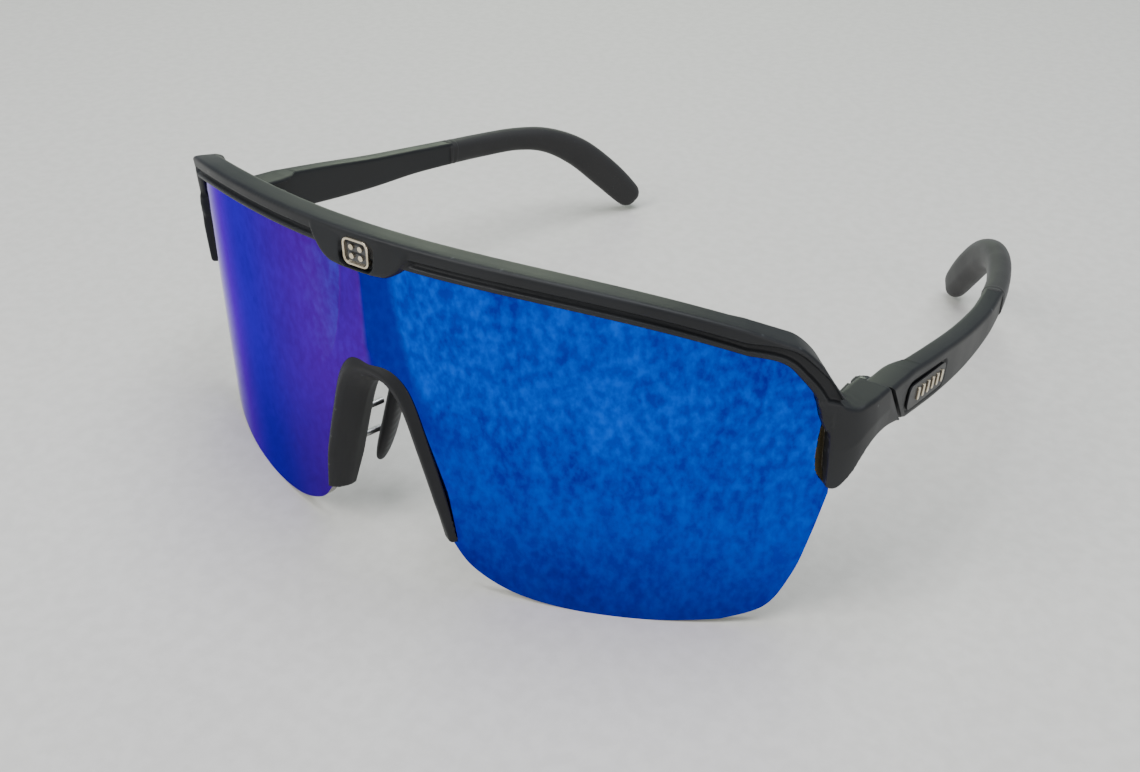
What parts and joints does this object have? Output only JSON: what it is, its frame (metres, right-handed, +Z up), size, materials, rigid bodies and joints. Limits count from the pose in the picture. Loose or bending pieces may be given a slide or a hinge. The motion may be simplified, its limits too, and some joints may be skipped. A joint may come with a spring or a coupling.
{
  "type": "wraparound sport sunglasses",
  "caption": "Wraparound sport sunglasses with one mirrored shield lens under a matte brow frame, a clip-in nose bridge and folding rubber-tipped temples.",
  "frame": {"origin": "middle of the bounding box in plan, on the surface that the glasses stand on with the temples open", "axes": "+Z up, the front of the lens faces -Y, the temples run towards +Y, +X is the wearer's left"},
  "size_m": [0.1446, 0.1529, 0.0623],
  "materials": {
    "frame": "matte black soft-touch nylon",
    "lens": "blue mirror coating on tinted polycarbonate",
    "badge_black": "satin black",
    "badge_metal": "champagne anodised",
    "pad_rubber": "matte soft rubber",
    "tip_rubber": "matte soft rubber",
    "steel": "plain steel wire"
  },
  "bodies": {
    "lens_unit": {"shield_lens": "lens", "nose_bridge": "frame"},
    "pad_left": {"nose_pad_left": "pad_rubber", "nose_wire_left": "steel"},
    "pad_right": {"nose_pad_right": "pad_rubber", "nose_wire_right": "steel"},
    "front": {"brow_frame": "frame", "badge_plate": "badge_black", "badge_rim": "badge_metal", "badge_dots": "badge_metal", "hinge_screw_left": "steel", "hinge_screw_right": "steel"},
    "arm_left": {"temple_left": "frame", "hinge_knuckle_left": "frame", "temple_panel_left": "badge_black", "temple_ribs_left": "badge_metal"},
    "arm_right": {"temple_right": "frame", "hinge_knuckle_right": "frame", "temple_panel_right": "badge_black", "temple_ribs_right": "badge_metal"},
    "tip_left": {"temple_tip_left": "tip_rubber", "tip_core_left": "steel"},
    "tip_right": {"temple_tip_right": "tip_rubber", "tip_core_right": "steel"}
  },
  "joints": [
    {"name": "lens_release", "type": "slide", "parent": "lens_unit", "child": "front", "axis": [0, 0, 1], "range_m": [0, 0.062]},
    {"name": "temple_fold_left", "type": "hinge", "parent": "front", "child": "arm_left", "pos_m": [0.0654, -0.0313, 0.0353], "axis": [0, 0, 1], "range_deg": [0, 88]},
    {"name": "temple_fold_right", "type": "hinge", "parent": "front", "child": "arm_right", "pos_m": [-0.0654, -0.0313, 0.0353], "axis": [0, 0, -1], "range_deg": [0, 72]},
    {"name": "tip_bend_left", "type": "hinge", "parent": "arm_left", "child": "tip_left", "pos_m": [0.0673, 0.02655, 0.02675], "axis": [1, 0, 0], "range_deg": [-6, 6]},
    {"name": "tip_bend_right", "type": "hinge", "parent": "arm_right", "child": "tip_right", "pos_m": [-0.0673, 0.02655, 0.02675], "axis": [1, 0, 0], "range_deg": [-6, 6]},
    {"name": "pad_swing_left", "type": "hinge", "parent": "lens_unit", "child": "pad_left", "pos_m": [0.0132, -0.0654, 0.018], "axis": [0, 0, 1], "range_deg": [-8, 8]},
    {"name": "pad_swing_right", "type": "hinge", "parent": "lens_unit", "child": "pad_right", "pos_m": [-0.0132, -0.0654, 0.018], "axis": [0, 0, -1], "range_deg": [-8, 8]}
  ]
}
